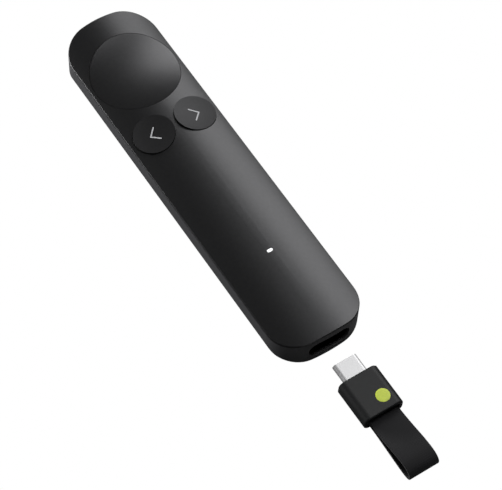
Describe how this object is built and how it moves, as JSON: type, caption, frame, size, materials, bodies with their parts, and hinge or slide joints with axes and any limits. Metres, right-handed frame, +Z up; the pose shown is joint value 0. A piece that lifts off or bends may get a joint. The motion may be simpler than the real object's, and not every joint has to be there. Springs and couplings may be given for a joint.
{
  "type": "wireless presentation clicker",
  "caption": "Slim hand-held presentation clicker with a dished pointer button, two round page buttons and a pull-out plug-in receiver on a strap loop.",
  "frame": {"origin": "centre of the body's flat underside", "axes": "+X across the body, +Y toward the pointer-button end, +Z up out of the crowned cover"},
  "size_m": [0.0308, 0.1813, 0.0128],
  "materials": {
    "case_plastic": "fine satin graphite plastic",
    "cover_paint": "satin metallic graphite paint",
    "button_plastic": "satin graphite plastic",
    "dish_plastic": "satin graphite plastic",
    "black_plastic": "black moulded plastic",
    "board_green": "printed circuit board",
    "steel": "stamped steel",
    "nickel": "nickel plated steel",
    "gold": "gold plated contacts",
    "cell_wrap": "foil pouch",
    "foam": "adhesive foam",
    "lens": "translucent light window",
    "led": "light emitting diode",
    "strap_rubber": "tight woven ribbon",
    "receiver_plastic": "soft touch plastic"
  },
  "bodies": {
    "body": {"bottom_case": "case_plastic", "top_cover": "cover_paint", "dock_sleeve": "black_plastic", "usb_receptacle": "steel", "receptacle_tongue": "black_plastic", "main_board": "board_green", "board_screws": "steel", "pointer_switch": "steel", "back_switch": "steel", "next_switch": "steel", "status_led": "led", "led_lens": "lens", "radio_shield": "steel", "battery": "cell_wrap", "battery_pad": "foam", "haptic_motor": "steel"},
    "pointer": {"pointer_button": "dish_plastic"},
    "back": {"back_button": "button_plastic"},
    "next": {"next_button": "button_plastic"},
    "receiver": {"plug_shell": "nickel", "plug_insulator": "black_plastic", "plug_contacts": "gold", "receiver_housing": "receiver_plastic", "receiver_board": "board_green", "receiver_chip": "black_plastic", "strap_clamp": "black_plastic", "strap_loop": "strap_rubber"}
  },
  "joints": [
    {"name": "pointer_press", "type": "slide", "parent": "body", "child": "pointer", "axis": [0, 0, -1], "range_m": [0, 0.00035], "stiffness_N_per_m": 600},
    {"name": "back_press", "type": "slide", "parent": "body", "child": "back", "axis": [0, 0, -1], "range_m": [0, 0.00035], "stiffness_N_per_m": 600},
    {"name": "next_press", "type": "slide", "parent": "body", "child": "next", "axis": [0, 0, -1], "range_m": [0, 0.00035], "stiffness_N_per_m": 600},
    {"name": "receiver_slide", "type": "slide", "parent": "body", "child": "receiver", "axis": [0, 1, 0], "range_m": [0, 0.0279]}
  ]
}
